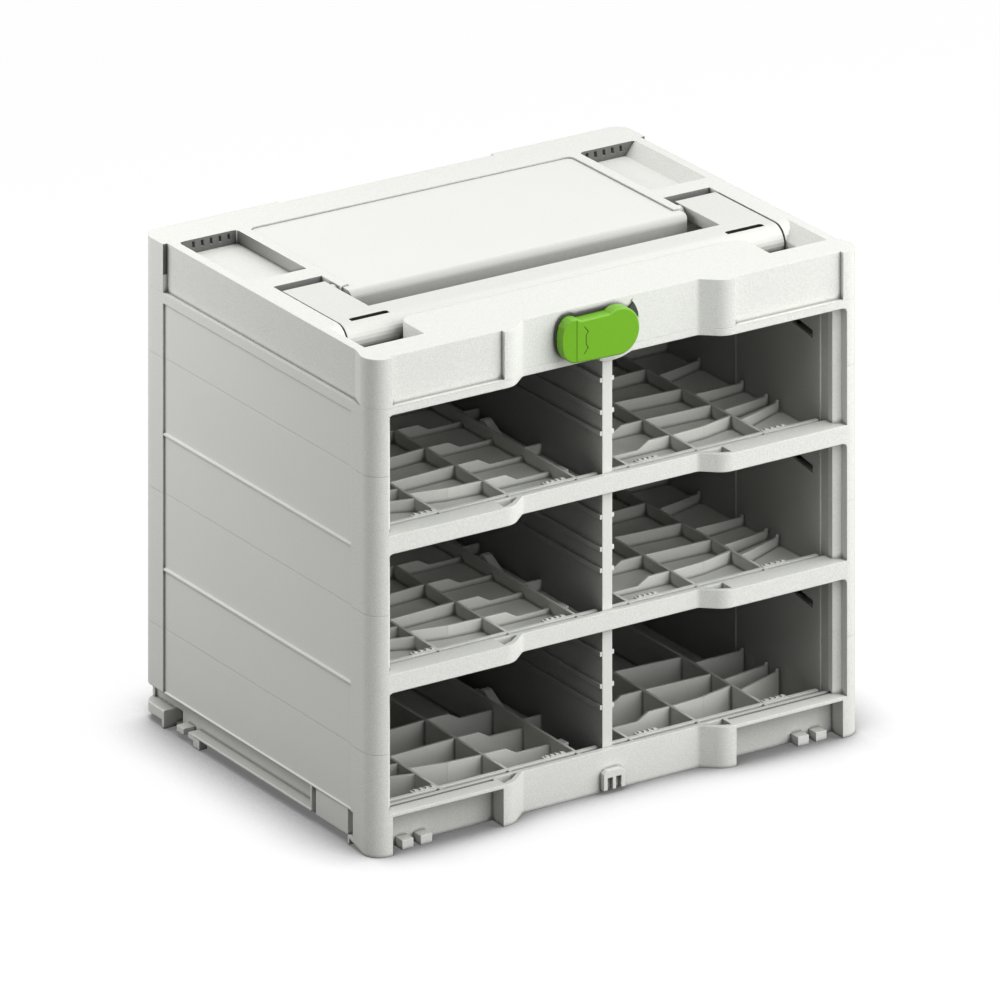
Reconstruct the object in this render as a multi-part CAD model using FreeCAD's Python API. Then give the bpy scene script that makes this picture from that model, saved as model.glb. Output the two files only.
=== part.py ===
# Six-bay stacking storage rack in moulded plastic: a base, two shelf modules and a top frame,
# with a lid deck that carries a fold-down handle and a rotary coupling latch.
# Units are millimetres. X is right seen from the front, Y is to the back, Z is up.
# The origin is the middle of the footprint at floor level.
import FreeCAD
import Part
import math
import os

V = FreeCAD.Vector

# overall size
HALF_W = 198.0            # half the width over the corner posts
HALF_D = 148.0            # half the depth over the corner posts
HEIGHT = 331.0            # floor to the top of the lid
POST_R = 12.5             # outer radius of the corner posts
SKIN = 3.2                # outer wall thickness

# heights
SEAM_1 = 68.2             # base to lower shelf module
SEAM_2 = 160.6            # lower to upper shelf module
SEAM_3 = 253.0            # upper shelf module to top frame
SEAM_4 = 297.8            # top frame to lid deck
SEAM_GAP = 0.10           # height of the shadow line at a seam
SEAM_DEPTH = 0.3          # depth of that line
LEDGE_Z = 28.0            # top of the base's front ledge
SHELF_PITCH = 92.4        # bay to bay
LIP_H = 12.14             # height of a shelf's front lip
BAY_H = SHELF_PITCH - LIP_H
PLATE_T = 2.4             # shelf plates, ledges and the lid's deck
SIDE_FOOT_Z = 24.7        # bottom edge of the side panels
PANEL_TOP_Z = 290.6       # top edge of the recessed side panels
BEAD_Z = (108.9, 201.2)   # moulded beads along the sides

# plan of the front: proud at the sides, set back in the middle
CENTRE_Y = -135.7
BULGE_START = 69.6        # where the set-back middle begins to curve out
BULGE_END = 91.0          # where the curve meets the front plane
CURVE_ANGLE = 41.0
CONCAVE_R = 4.0
CONVEX_R = 15.0
LEDGE_IN_Y = -131.5       # inner edge of the ledges
PANEL_Y = -134.3          # face of the recessed base panels
BULGE_SIDE = 94.2         # outer end of the base's front bulges
WINDOW_X = 185.3          # half width of the bays at the front
WINDOW_STEP_Y = -141.7    # where the post's inner side begins to slant in
THROAT_X = 179.0          # half width behind the slant
THROAT_Y = -139.5
INNER_X = 178.0           # half width of the bays inside
POST_BACK_Y = -135.0

# side and rear recesses
SIDE_Y0 = -121.0
SIDE_Y1 = 119.3
PANEL_RECESS = 1.5
BAND_RECESS = 3.4
REAR_STEP_X = 88.0
REAR_FOOT_X = 182.8       # inner corner of the rear feet
REAR_FOOT_Y = 118.3
FOOT_TOP_Z = 12.3
BASE_WALL_X = 188.2       # outer face of the base's set-back side walls
RAIL_TOP_Z = 8.3

# dividers and rib floors
DIVIDER_HALF = 3.9
DIVIDER_Y0 = -131.5
BACK_IN_Y = 143.3
RIB_T = 2.0
RIB_X = (21.2, 76.4, 131.6)
CROSS_WALL_Y = (-124.9, -123.3)
CROSS_BEAD = (1.5, 1.5)    # reach and height of the bead along the front cross wall's top
RIB_BACK_Y = 142.0
SHELF_RIB_H = 8.7         # rib height over a shelf plate
BASE_RIB_H = 24.2         # rib height over the base's floor
BASE_FLOOR_Z = 3.0
STEP_DROP = 5.2

# lid
DECK_Z = HEIGHT
POCKET_FLOOR_Z = 322.0
FRONT_POCKET_Z = 316.0
WELL_FLOOR_Z = 300.0
COVER_HALF = 132.4
COVER_TOP_Z = 329.8
NOSE_HALF = 137.3
WELL_HALF = 178.2         # half width of the handle's well

# handle
ARM_IN = 142.9
ARM_OUT = 176.8
EAR_IN = 139.9            # inner end of the ears round the pivots
HANDLE_TOP_Z = 330.7
PIVOT_Y = -7.9
PIVOT_Z = 323.0
PIN_R = 3.0
RUN_CLEAR = 0.05          # radial running clearance

# latch
HUB_Z = 312.9
HUB_R = 15.9
LATCH_BACK_Y = -138.9
LATCH_FRONT_Y = -147.4
SPINDLE_R = 6.0
SEAT_STOP_R = 21.8        # reach of the dark stop beside the hub

# drawer catches
CATCH_X = (9.4, 15.6)
CATCH_Y = (-25.0, 2.0)
CATCH_GAP = 0.9
CATCH_ROOT_R = 1.1
CATCH_RISE = 8.5          # top of the catch over its plate
CHANNEL_X = (6.5, 19.0)   # openings in the plates beside the dividers
CHANNEL_Y = ((-116.0, -58.0), (-52.5, -28.5), (24.0, 96.0))


def box(x0, x1, y0, y1, z0, z1):
    return Part.makeBox(x1 - x0, y1 - y0, z1 - z0, V(x0, y0, z0))


def both(shape):
    """the shape and its mirror image across the YZ plane"""
    return [shape, mirrored(shape)]


def mirrored(shape):
    return shape.mirror(V(0, 0, 0), V(1, 0, 0))


def fuse(shapes):
    first = shapes[0]
    if len(shapes) > 1:
        first = first.fuse(shapes[1:])
    return first.removeSplitter()


def cut(shape, tools):
    return shape.cut(tools).removeSplitter()


def prism(points, z0, z1):
    """upright prism over a plan polygon"""
    ring = [V(x, y, z0) for x, y in points]
    wire = Part.makePolygon(ring + [ring[0]])
    return Part.Face(wire).extrude(V(0, 0, z1 - z0))


def side_prism(points, x0, x1):
    """prism along X over a (y, z) polygon"""
    ring = [V(x0, y, z) for y, z in points]
    wire = Part.makePolygon(ring + [ring[0]])
    return Part.Face(wire).extrude(V(x1 - x0, 0, 0))


def front_prism(points, y0, y1):
    """prism along Y over an (x, z) polygon"""
    ring = [V(x, y0, z) for x, z in points]
    wire = Part.makePolygon(ring + [ring[0]])
    return Part.Face(wire).extrude(V(0, y1 - y0, 0))


def path(start, steps):
    """edges from a list of ('L', end) and ('A', middle, end) steps"""
    edges = []
    here = V(start[0], start[1], 0)
    for step in steps:
        end = V(step[-1][0], step[-1][1], 0)
        if step[0] == "L":
            edges.append(Part.makeLine(here, end))
        else:
            middle = V(step[1][0], step[1][1], 0)
            edges.append(Part.Arc(here, middle, end).toShape())
        here = end
    return edges


def on_arc(cx, cy, r, degrees):
    a = math.radians(degrees)
    return (cx + r * math.cos(a), cy + r * math.sin(a))


def front_curve(inset=0.0):
    """steps from the middle of the front out to the proud front plane, offset inwards"""
    concave = CONCAVE_R + inset
    convex = CONVEX_R - inset
    cy = CENTRE_Y - CONCAVE_R
    vy = -HALF_D + CONVEX_R
    turn = CURVE_ANGLE
    return [
        ("L", (BULGE_START, CENTRE_Y + inset)),
        ("A", on_arc(BULGE_START, cy, concave, 90 - turn / 2),
              on_arc(BULGE_START, cy, concave, 90 - turn)),
        ("L", on_arc(BULGE_END, vy, convex, 270 - turn)),
        ("A", on_arc(BULGE_END, vy, convex, 270 - turn / 2), (BULGE_END, -HALF_D + inset)),
    ]


def symmetric_prism(start, steps, z0, z1):
    """prism over a half outline that starts and ends on the Y axis, and its mirror image"""
    edges = path(start, steps)
    wire = Part.Wire(edges + [e.mirror(V(0, 0, 0), V(1, 0, 0)) for e in reversed(edges)])
    face = Part.Face(Part.Wire(Part.__sortEdges__(wire.Edges)))
    solid = face.extrude(V(0, 0, z1 - z0))
    solid.translate(V(0, 0, z0))
    return solid


def corner(front):
    """arc round a front or rear corner post"""
    c = HALF_D - POST_R
    if front:
        return ("A", on_arc(HALF_W - POST_R, -c, POST_R, -45), (HALF_W, -c))
    return ("A", on_arc(HALF_W - POST_R, c, POST_R, 45), (HALF_W - POST_R, HALF_D))


def case_prism(z0, z1, side=0.0, side_slope=0.0, rear=0.0):
    """outline of the case: posts proud, sides and rear set back by the given depths"""
    steps = front_curve() + [("L", (HALF_W - POST_R, -HALF_D)), corner(True)]
    if side:
        steps += [("L", (HALF_W, SIDE_Y0 - side_slope)), ("L", (HALF_W - side, SIDE_Y0)),
                  ("L", (HALF_W - side, SIDE_Y1)), ("L", (HALF_W, SIDE_Y1))]
    steps += [("L", (HALF_W, HALF_D - POST_R)), corner(False)]
    if rear:
        steps += [("L", (REAR_STEP_X, HALF_D)), ("L", (REAR_STEP_X, HALF_D - rear)),
                  ("L", (0, HALF_D - rear))]
    else:
        steps += [("L", (0, HALF_D))]
    return symmetric_prism((0, CENTRE_Y), steps, z0, z1)


def front_strip(z0, z1, back_y):
    """solid between the front outline and a line across the case"""
    steps = front_curve() + [("L", (WINDOW_X, -HALF_D)), ("L", (WINDOW_X, back_y)),
                             ("L", (0, back_y))]
    return symmetric_prism((0, CENTRE_Y), steps, z0, z1)


def rounded_plan(hx, hy, r, z0, z1):
    c = [("L", (hx - r, -hy)), ("A", on_arc(hx - r, -hy + r, r, -45), (hx, -hy + r)),
         ("L", (hx, hy - r)), ("A", on_arc(hx - r, hy - r, r, 45), (hx - r, hy)),
         ("L", (0, hy))]
    return symmetric_prism((0, -hy), c, z0, z1)


def seam_cut(z):
    """thin groove round the case just under a seam"""
    outer = box(-HALF_W - 5, HALF_W + 5, -HALF_D - 5, HALF_D + 5, z - SEAM_GAP, z)
    inner = rounded_plan(HALF_W - SEAM_DEPTH - PANEL_RECESS, HALF_D - SEAM_DEPTH,
                         POST_R - SEAM_DEPTH, z - SEAM_GAP - 1, z + 1)
    return outer.cut(inner)


def window_cut(z0):
    """a bay's opening through the front, with rounded upper corners"""
    z1 = z0 + BAY_H
    r = 3.0
    bow = r * (1 - math.cos(math.radians(45)))
    pts = [(-WINDOW_X, z0), (WINDOW_X, z0), (WINDOW_X, z1 - r), (WINDOW_X - bow, z1 - bow),
           (WINDOW_X - r, z1), (-WINDOW_X + r, z1), (-WINDOW_X + bow, z1 - bow),
           (-WINDOW_X, z1 - r)]
    front = front_prism(pts, -HALF_D - 2, POST_BACK_Y + 4)
    right = [(0, -HALF_D - 2), (WINDOW_X, -HALF_D - 2), (WINDOW_X, WINDOW_STEP_Y),
             (THROAT_X, THROAT_Y), (THROAT_X, POST_BACK_Y + 4), (0, POST_BACK_Y + 4)]
    plan = fuse(both(prism(right, z0 - 1, z1 + 1)))
    return front.common(plan)


def bay_z(row):
    """height of a bay's ledge, counted from the base"""
    return LEDGE_Z + row * SHELF_PITCH


def cavity(z0, z1):
    inner = HALF_W - PANEL_RECESS - SKIN
    return box(-inner, inner, POST_BACK_Y, BACK_IN_Y, z0, z1)


def side_beads(z):
    """small bead along both side panels"""
    x = HALF_W - PANEL_RECESS
    pts = [(x - 0.5, z - 0.9), (x + 1.3, z - 0.9), (x + 1.3, z + 0.4), (x, z + 1.3), (x - 0.5, z + 1.3)]
    bead = front_prism(pts, SIDE_Y0, SIDE_Y1)
    return both(bead)


def post_shell(z0, z1):
    """module wall: outer case with the common cavity taken out"""
    shell = case_prism(z0, z1, PANEL_RECESS, 0, PANEL_RECESS)
    return shell.cut(cavity(z0 - 1, z1 + 1))


def ledge_pockets(z, depth):
    """three-cornered drain holes at the inner ends of a ledge"""
    pts = [(92.0, -134.0), (92.0, -145.0), (84.0, -141.8), (75.2, -135.3), (78.5, -134.4)]
    return both(prism(pts, z - depth, z + 1))


def catch_slot(z_plate):
    """slot in a plate for a drawer catch, with a rounded seat for the catch's root"""
    y0, y1 = CATCH_Y
    x0, x1 = CATCH_X[0] - CATCH_GAP, CATCH_X[1] + CATCH_GAP
    zc = z_plate - PLATE_T / 2
    slot = box(x0, x1, y0, y1 + 1.5, z_plate - PLATE_T - 1, z_plate + 1)
    seat = Part.makeCylinder(CATCH_ROOT_R + RUN_CLEAR, x1 - x0, V(x0, y0, zc), V(1, 0, 0))
    return slot.fuse(seat)


def base_side():
    """set-back wall, rail, tabs and rear foot at the right side of the base"""
    x, out = BASE_WALL_X, HALF_W - 0.2
    lip = SIDE_FOOT_Z - 0.4
    rail = front_prism([(x - 1, 6.6), (out - 1.2, 6.9), (out, 7.3), (out, 8.4), (out - 0.8, 8.8),
                        (out - 1.4, RAIL_TOP_Z), (x - 1, RAIL_TOP_Z)], -71.0, 80.0)
    sole = prism([(REAR_FOOT_X, REAR_FOOT_Y), (out, REAR_FOOT_Y), (out, 121.0), (190.0, 134.0),
                  (REAR_FOOT_X, 134.0)], 0.0, 5.6)
    return [
        box(x - 2.6, x, SIDE_Y0, REAR_FOOT_Y + 0.5, 1.0, SIDE_FOOT_Z),
        box(x - 2.6, 196.5, SIDE_Y0, SIDE_Y1, SIDE_FOOT_Z - 0.6, SIDE_FOOT_Z + 2),
        front_prism([(196.0, lip), (197.4, lip), (197.4, lip + 0.5), (196.4, lip + 1.4), (196.0, lip + 1.4)],
                    SIDE_Y0, SIDE_Y1),
        rail,
        box(x - 1, 196.5, -115.0, -74.9, 6.2, SIDE_FOOT_Z),
        box(x - 1, 197.4, -71.0, -69.2, 6.8, SIDE_FOOT_Z),
        box(x - 1, out, 79.0, 86.6, 4.6, RAIL_TOP_Z),
        box(191.5, out, 72.3, 80.1, 0.4, 7.0),
        box(x - 1, out, 92.6, 101.6, 4.4, RAIL_TOP_Z),
        box(x - 1, 197.4, -124.0, -116.1, 0.8, 6.6),
        box(REAR_FOOT_X, x, REAR_FOOT_Y, 147.0, FOOT_TOP_Z - 0.5, SIDE_FOOT_Z + 1),
        rear_corner(0.2, 0.2, 5.5, FOOT_TOP_Z - 0.6),
        rear_corner(0.2, 0.9, FOOT_TOP_Z - 0.6, FOOT_TOP_Z),
        sole,
    ]


def base_housing():
    upper = post_shell(SIDE_FOOT_Z, SEAM_1)
    lower = case_prism(0, SIDE_FOOT_Z)
    keep_front = box(-250, 250, -200, SIDE_Y0, -1, SIDE_FOOT_Z + 1)
    front_posts = lower.common(keep_front)
    body = [upper, front_posts, box(-190, 190, BACK_IN_Y, 146.0, 0.0, SIDE_FOOT_Z + 4)]
    for part in base_side():
        body += both(part)
    shell = fuse(body)
    inner = BASE_WALL_X - 2.6
    z_lip = SIDE_FOOT_Z - 0.6
    tools = [
        box(-inner, inner, LEDGE_IN_Y, REAR_FOOT_Y, 1.0, SIDE_FOOT_Z + 4),
        box(-REAR_FOOT_X, REAR_FOOT_X, REAR_FOOT_Y - 1, BACK_IN_Y, 1.0, SIDE_FOOT_Z + 4),
        box(-182.0, 182.0, -200, LEDGE_IN_Y + 0.1, -1, LEDGE_Z),
        window_cut(LEDGE_Z),
        seam_cut(SEAM_1),
    ]
    tools += both(box(inner - 0.5, BASE_WALL_X + 0.5, -74.9, -71.0, RAIL_TOP_Z, z_lip))
    tools += both(box(BASE_WALL_X - 2.0, HALF_W + 1, -123.5, -115.0, 6.6, z_lip))
    tools += both(box(inner - 0.5, BASE_WALL_X + 0.5, 109.1, REAR_FOOT_Y, 3.0, 13.2))
    tools.append(side_prism([(-118.0, -1), (-118.0, 4.6), (-124.0, 4.2), (-137.0, 0.8), (-140.0, -1)],
                            186.0, HALF_W + 1))
    tools.append(mirrored(tools[-1]))
    shell = shell.cut(tools)
    floors = []
    for half, y0, y1 in ((inner, LEDGE_IN_Y, REAR_FOOT_Y), (REAR_FOOT_X, REAR_FOOT_Y - 1, BACK_IN_Y + 0.5)):
        floors.append(box(-half - 0.5, half + 0.5, y0, y1, 1.0, BASE_FLOOR_Z))
    floor = fuse(floors)
    ledge = front_strip(LEDGE_Z - PLATE_T, LEDGE_Z, LEDGE_IN_Y)
    middle = front_strip(0.0, LEDGE_Z - PLATE_T, LEDGE_IN_Y)
    middle = middle.common(box(-BULGE_SIDE, BULGE_SIDE, -200, 0, -1, 40))
    hollow = []
    for s in both(box(74.0, BULGE_SIDE - 2.6, -134.0, -125, -1, LEDGE_Z - PLATE_T)):
        hollow.append(s)
    for s in both(prism([(91.6, -134.0), (91.6, -145.2), (84.6, -143.2), (76.5, -136.2), (74.4, -134.0)],
                        -1, LEDGE_Z - PLATE_T)):
        hollow.append(s)
    middle = middle.cut(hollow)
    panel = box(-182.2, 182.2, PANEL_Y, LEDGE_IN_Y, 0.0, LEDGE_Z)
    panel = panel.cut(box(-72.0, 72.0, -200, 0, -1, 40))
    parts = [shell, floor, ledge, middle, panel]
    for x0, x1 in ((148.0, 157.0), (162.8, 171.6)):
        parts += both(box(x0, x1, -143.3, PANEL_Y + 1, 0.0, 6.2))
    parts.append(receiver())
    housing = fuse(parts)
    grooves = both(box(95.0, 181.9, -137.6, -134.9, LEDGE_Z - 1.9, LEDGE_Z + 1))
    grooves += ledge_pockets(LEDGE_Z, PLATE_T + 0.5)
    return cut(housing, grooves)


def rear_corner(low_inset, high_inset, z0, z1):
    """block at the right rear corner of the base, inset from the case outline at its two ends"""
    wires = []
    for inset, z in ((low_inset, z0), (high_inset, z1)):
        r = POST_R - inset
        hx = HALF_W - inset
        hy = HALF_D - inset
        edges = path((REAR_FOOT_X, REAR_FOOT_Y), [
            ("L", (hx, REAR_FOOT_Y)), ("L", (hx, hy - r)),
            ("A", on_arc(hx - r, hy - r, r, 45), (hx - r, hy)),
            ("L", (REAR_FOOT_X, hy)), ("L", (REAR_FOOT_X, REAR_FOOT_Y))])
        wire = Part.Wire(edges)
        wire.translate(V(0, 0, z))
        wires.append(wire)
    return Part.makeLoft(wires, True, True)


def receiver():
    """hooded coupling socket in the middle of the base's front"""
    y0 = CENTRE_Y - 4.6
    y1 = CENTRE_Y + 1.0
    pts = [(-8.6, 2.6), (8.6, 2.6), (8.6, 13.6), (5.6, 15.6), (-5.6, 15.6), (-8.6, 13.6)]
    block = front_prism(pts, y0, y1)
    slots = [box(-5.6, -1.3, y0 - 1, y0 + 3.4, 2.0, 10.6), box(1.3, 5.6, y0 - 1, y0 + 3.4, 2.0, 10.6)]
    return block.cut(slots)


def shelf_housing(z0, z1, row):
    shell = post_shell(z0, z1)
    ledge_z = bay_z(row)
    lip_z = ledge_z - LIP_H
    inner = HALF_W - PANEL_RECESS - SKIN
    plate = box(-inner - 0.5, inner + 0.5, LEDGE_IN_Y - 0.5, BACK_IN_Y + 0.5, lip_z, lip_z + PLATE_T)
    shell = shell.cut([window_cut(ledge_z), window_cut(ledge_z - SHELF_PITCH), seam_cut(z1)])
    lip = front_strip(lip_z, ledge_z, LEDGE_IN_Y)
    hollows = both(box(97.0, 180.0, -145.4, -134.0, lip_z - 1, ledge_z - PLATE_T))
    lip = lip.cut(hollows)
    corners = both(box(WINDOW_X - 0.5, 193.8, WINDOW_STEP_Y, LEDGE_IN_Y, lip_z, lip_z + PLATE_T))
    bead_z = BEAD_Z[row - 1]
    housing = fuse([shell, plate, lip] + corners + side_beads(bead_z))
    tools = both(catch_slot(lip_z + PLATE_T))
    for y0, y1 in CHANNEL_Y:
        tools += both(box(CHANNEL_X[0], CHANNEL_X[1], y0, y1, lip_z - 1, lip_z + PLATE_T + 1))
    return cut(housing, tools + ledge_pockets(ledge_z, LIP_H + 1))


def label_cut():
    """recess for a name plate at each end of the fascia, left bare"""
    return both(box(93.4, 182.2, -HALF_D - 2, -HALF_D + BAND_RECESS, 299.0, DECK_Z + 1))


def top_frame():
    ledge_z = bay_z(3)
    under = ledge_z - LIP_H
    panel = post_shell(SEAM_3, PANEL_TOP_Z)
    band = case_prism(PANEL_TOP_Z, SEAM_4, 0, 0, PANEL_RECESS)
    band = band.cut(cavity(PANEL_TOP_Z - 1, SEAM_4 + 1))
    shell = panel.fuse(band).cut(window_cut(bay_z(2)))
    fascia = front_strip(under, SEAM_4, CENTRE_Y + 3.0)
    fascia = fascia.cut(both(box(94.0, 180.0, -144.9, -131, under - 1, SEAM_4 + 1)))
    inner = HALF_W - PANEL_RECESS - SKIN
    ceiling = box(-inner - 0.5, inner + 0.5, CENTRE_Y + 2.0, BACK_IN_Y + 0.5, under, under + 2.0)
    side_ceiling = both(box(94.0, inner, -145.2, CENTRE_Y + 2.5, under, under + 2.0))
    disc = Part.makeCylinder(40.0, 3.9, V(0, CENTRE_Y - 1.6, 330.6), V(0, 1, 0))
    boss = disc.common(box(-9.8, 17.5, -150, -120, 280, SEAM_4))
    frame = fuse([shell, fascia, ceiling, boss] + side_ceiling)
    x = HALF_W - PANEL_RECESS
    grooves = both(box(x - 0.8, x + 0.5, SIDE_Y0, SIDE_Y1, PANEL_TOP_Z - 0.6, PANEL_TOP_Z))
    return cut(frame, grooves)


def rear_pocket():
    """foot pocket at the right rear: flat floor, ramp to the front, sloping outer wall"""
    y0, y1, y2, y3 = 26.0, 46.0, 114.8, 116.4
    x_in, x_out, x_floor = 140.7, 187.4, 179.0
    profile = side_prism([(y0, DECK_Z + 1), (y0, DECK_Z), (y1, POCKET_FLOOR_Z), (y2, POCKET_FLOOR_Z),
                          (y3, DECK_Z), (y3, DECK_Z + 1)], x_in, x_out)
    slope = front_prism([(x_in - 1, POCKET_FLOOR_Z), (x_floor, POCKET_FLOOR_Z), (x_out, DECK_Z),
                         (x_out, DECK_Z + 1), (x_in - 1, DECK_Z + 1)], y0 - 1, y3 + 1)
    r = 3.2
    bow = r * (1 - math.cos(math.radians(45)))
    plan = prism([(x_in, y0 - 1), (x_out, y0 - 1), (x_out, y3 - r), (x_out - bow, y3 - bow),
                  (x_out - r, y3), (x_in + r, y3), (x_in + bow, y3 - bow), (x_in, y3 - r)],
                 POCKET_FLOOR_Z - 1, DECK_Z + 2)
    pocket = profile.common(slope).common(plan)
    notches = []
    for k in range(5):
        x = x_in + 5.4 + 7.1 * k
        notches.append(box(x, x + 2.2, y2 - 1, y3 + 3.0, POCKET_FLOOR_Z + 3.4, DECK_Z - 1.6))
    return fuse([pocket] + notches)


def front_pocket():
    """open pocket in front of the right handle arm"""
    plan = prism([(139.9, -121.0), (187.4, -121.0), (187.4, -85.1), (WELL_HALF, -85.1),
                  (WELL_HALF, -70.0), (150.0, -70.0), (132.0, -86.9), (137.5, -90.5), (139.9, -96.0)],
                 FRONT_POCKET_Z, DECK_Z + 1)
    slope = front_prism([(120, FRONT_POCKET_Z), (WELL_HALF, FRONT_POCKET_Z), (WELL_HALF, 321.0),
                         (187.4, DECK_Z), (187.4, DECK_Z + 1), (120, DECK_Z + 1)], -122, -69)
    return fuse([plan.common(slope), above_cheek().common(slope)])


def above_cheek():
    """space above the rounded cheek that continues the handle's front profile"""
    y, z, r = -72.6, DECK_Z - 12.3, 12.3
    pts = [(y - r - 0.5, DECK_Z + 1), (y - r - 0.5, z)]
    for k in range(7):
        a = math.radians(180 - 15 * k)
        pts.append((y + r * math.cos(a), z + r * math.sin(a)))
    return side_prism(pts + [(y, DECK_Z + 1)], WELL_HALF - 0.5, 187.4)


def lid_deck():
    body = case_prism(SEAM_4, DECK_Z, BAND_RECESS, 12.0, BAND_RECESS)
    inner_x = 190.8
    hollows = [box(-inner_x, inner_x, CENTRE_Y + 3.0, 141.0, SEAM_4 - 1, DECK_Z - PLATE_T)]
    hollows += both(box(94.0, 182.6, -141.4, CENTRE_Y + 4.0, SEAM_4 - 1, DECK_Z - PLATE_T))
    body = body.cut(hollows)
    wz = WELL_FLOOR_Z - 2.0
    top = DECK_Z - PLATE_T + 0.2
    blocks = [
        box(-181.8, 181.8, -88.9, -12.0, wz, top),
        box(-COVER_HALF - 2, COVER_HALF + 2, -14.0, 116.5, 325.2, top),
    ]
    blocks += both(box(137.5, 181.8, -13.0, 10.8, wz, top))
    blocks += both(box(138.7, 189.4, 24.0, 122.5, POCKET_FLOOR_Z - 2.0, top))
    blocks += both(box(137.9, 189.4, -123.0, -70.0, FRONT_POCKET_Z - 2.0, top))
    body = fuse([body] + blocks)
    tools = [
        box(-WELL_HALF, WELL_HALF, -86.9, -14.0, WELL_FLOOR_Z, DECK_Z + 1),
        cover_plan(0.0, -15.0, 327.6),
    ]
    tools += both(box(139.5, WELL_HALF, -15.0, 8.8, WELL_FLOOR_Z, DECK_Z + 1))
    tools += both(rear_pocket())
    tools += both(front_pocket())
    tools += label_cut()
    pin_hole = Part.makeCylinder(PIN_R + 0.02, 46.0, V(137.0, PIVOT_Y, PIVOT_Z), V(1, 0, 0))
    tools += both(pin_hole)
    tools.append(Part.makeCylinder(SPINDLE_R + RUN_CLEAR, 10.0, V(0, -140, HUB_Z), V(0, 1, 0)))
    return fuse([body.cut(tools), seat_rim()])


def seat_rim():
    """thin proud rim that guards the latch's stop"""
    disc = Part.makeCylinder(SEAT_STOP_R + 1.6, 1.8, V(0, CENTRE_Y - 0.9, HUB_Z), V(0, 1, 0))
    inner = Part.makeCylinder(SEAT_STOP_R + 0.1, 3.0, V(0, CENTRE_Y - 2.0, HUB_Z), V(0, 1, 0))
    wedge = front_prism(stop_sector(4.0), CENTRE_Y - 3, CENTRE_Y + 3)
    return disc.cut(inner).common(wedge)


def cover_plan(gap, front_y, z0):
    """plan of the cover with its two rounded rear corners, smaller all round by a gap"""
    x, y, r = COVER_HALF - gap, 114.6 - gap, 5.5 - gap
    steps = [("L", (x, front_y)), ("L", (x, y - r)), ("A", on_arc(x - r, y - r, r, 45), (x - r, y)),
             ("L", (0, y))]
    return symmetric_prism((0, front_y), steps, z0, DECK_Z + 1)


def top_cover():
    """centre panel of the lid, with the rounded nose behind the handle"""
    r = 5.5
    front = -25.5
    pts = [(115.0, COVER_TOP_Z), (front + r, COVER_TOP_Z)]
    for k in range(1, 7):
        a = math.radians(90 + 85 * k / 6)
        pts.append((front + r + r * math.cos(a), COVER_TOP_Z - r + r * math.sin(a)))
    pts += [(front - 1.1, 312.0), (-14.0, 312.0), (-14.0, 327.6), (115.0, 327.6)]
    profile = side_prism(pts, -NOSE_HALF, NOSE_HALF)
    c = 3.6
    y0, y1 = front - 1.1, -14.3
    nose = [("L", (NOSE_HALF - c, y0)), ("A", on_arc(NOSE_HALF - c, y0 + c, c, -45), (NOSE_HALF, y0 + c)),
            ("L", (NOSE_HALF, y1)), ("L", (0, y1))]
    plan = fuse([symmetric_prism((0, y0), nose, 300.0, DECK_Z + 1), cover_plan(0.3, y1 - 1, 300.0)])
    return profile.common(plan)


def rib(x0, y0, x1, y1, tops, z0):
    """upright rib between two plan points; tops is a list of (share along, height)"""
    length = math.hypot(x1 - x0, y1 - y0)
    pts = [(0, z0)] + [(f * length, z) for f, z in tops] + [(length, z0)]
    ring = [V(s, -RIB_T / 2, z) for s, z in pts]
    solid = Part.Face(Part.makePolygon(ring + [ring[0]])).extrude(V(0, RIB_T, 0))
    solid.rotate(V(0, 0, 0), V(0, 0, 1), math.degrees(math.atan2(y1 - y0, x1 - x0)))
    solid.translate(V(x0, y0, 0))
    return solid


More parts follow.
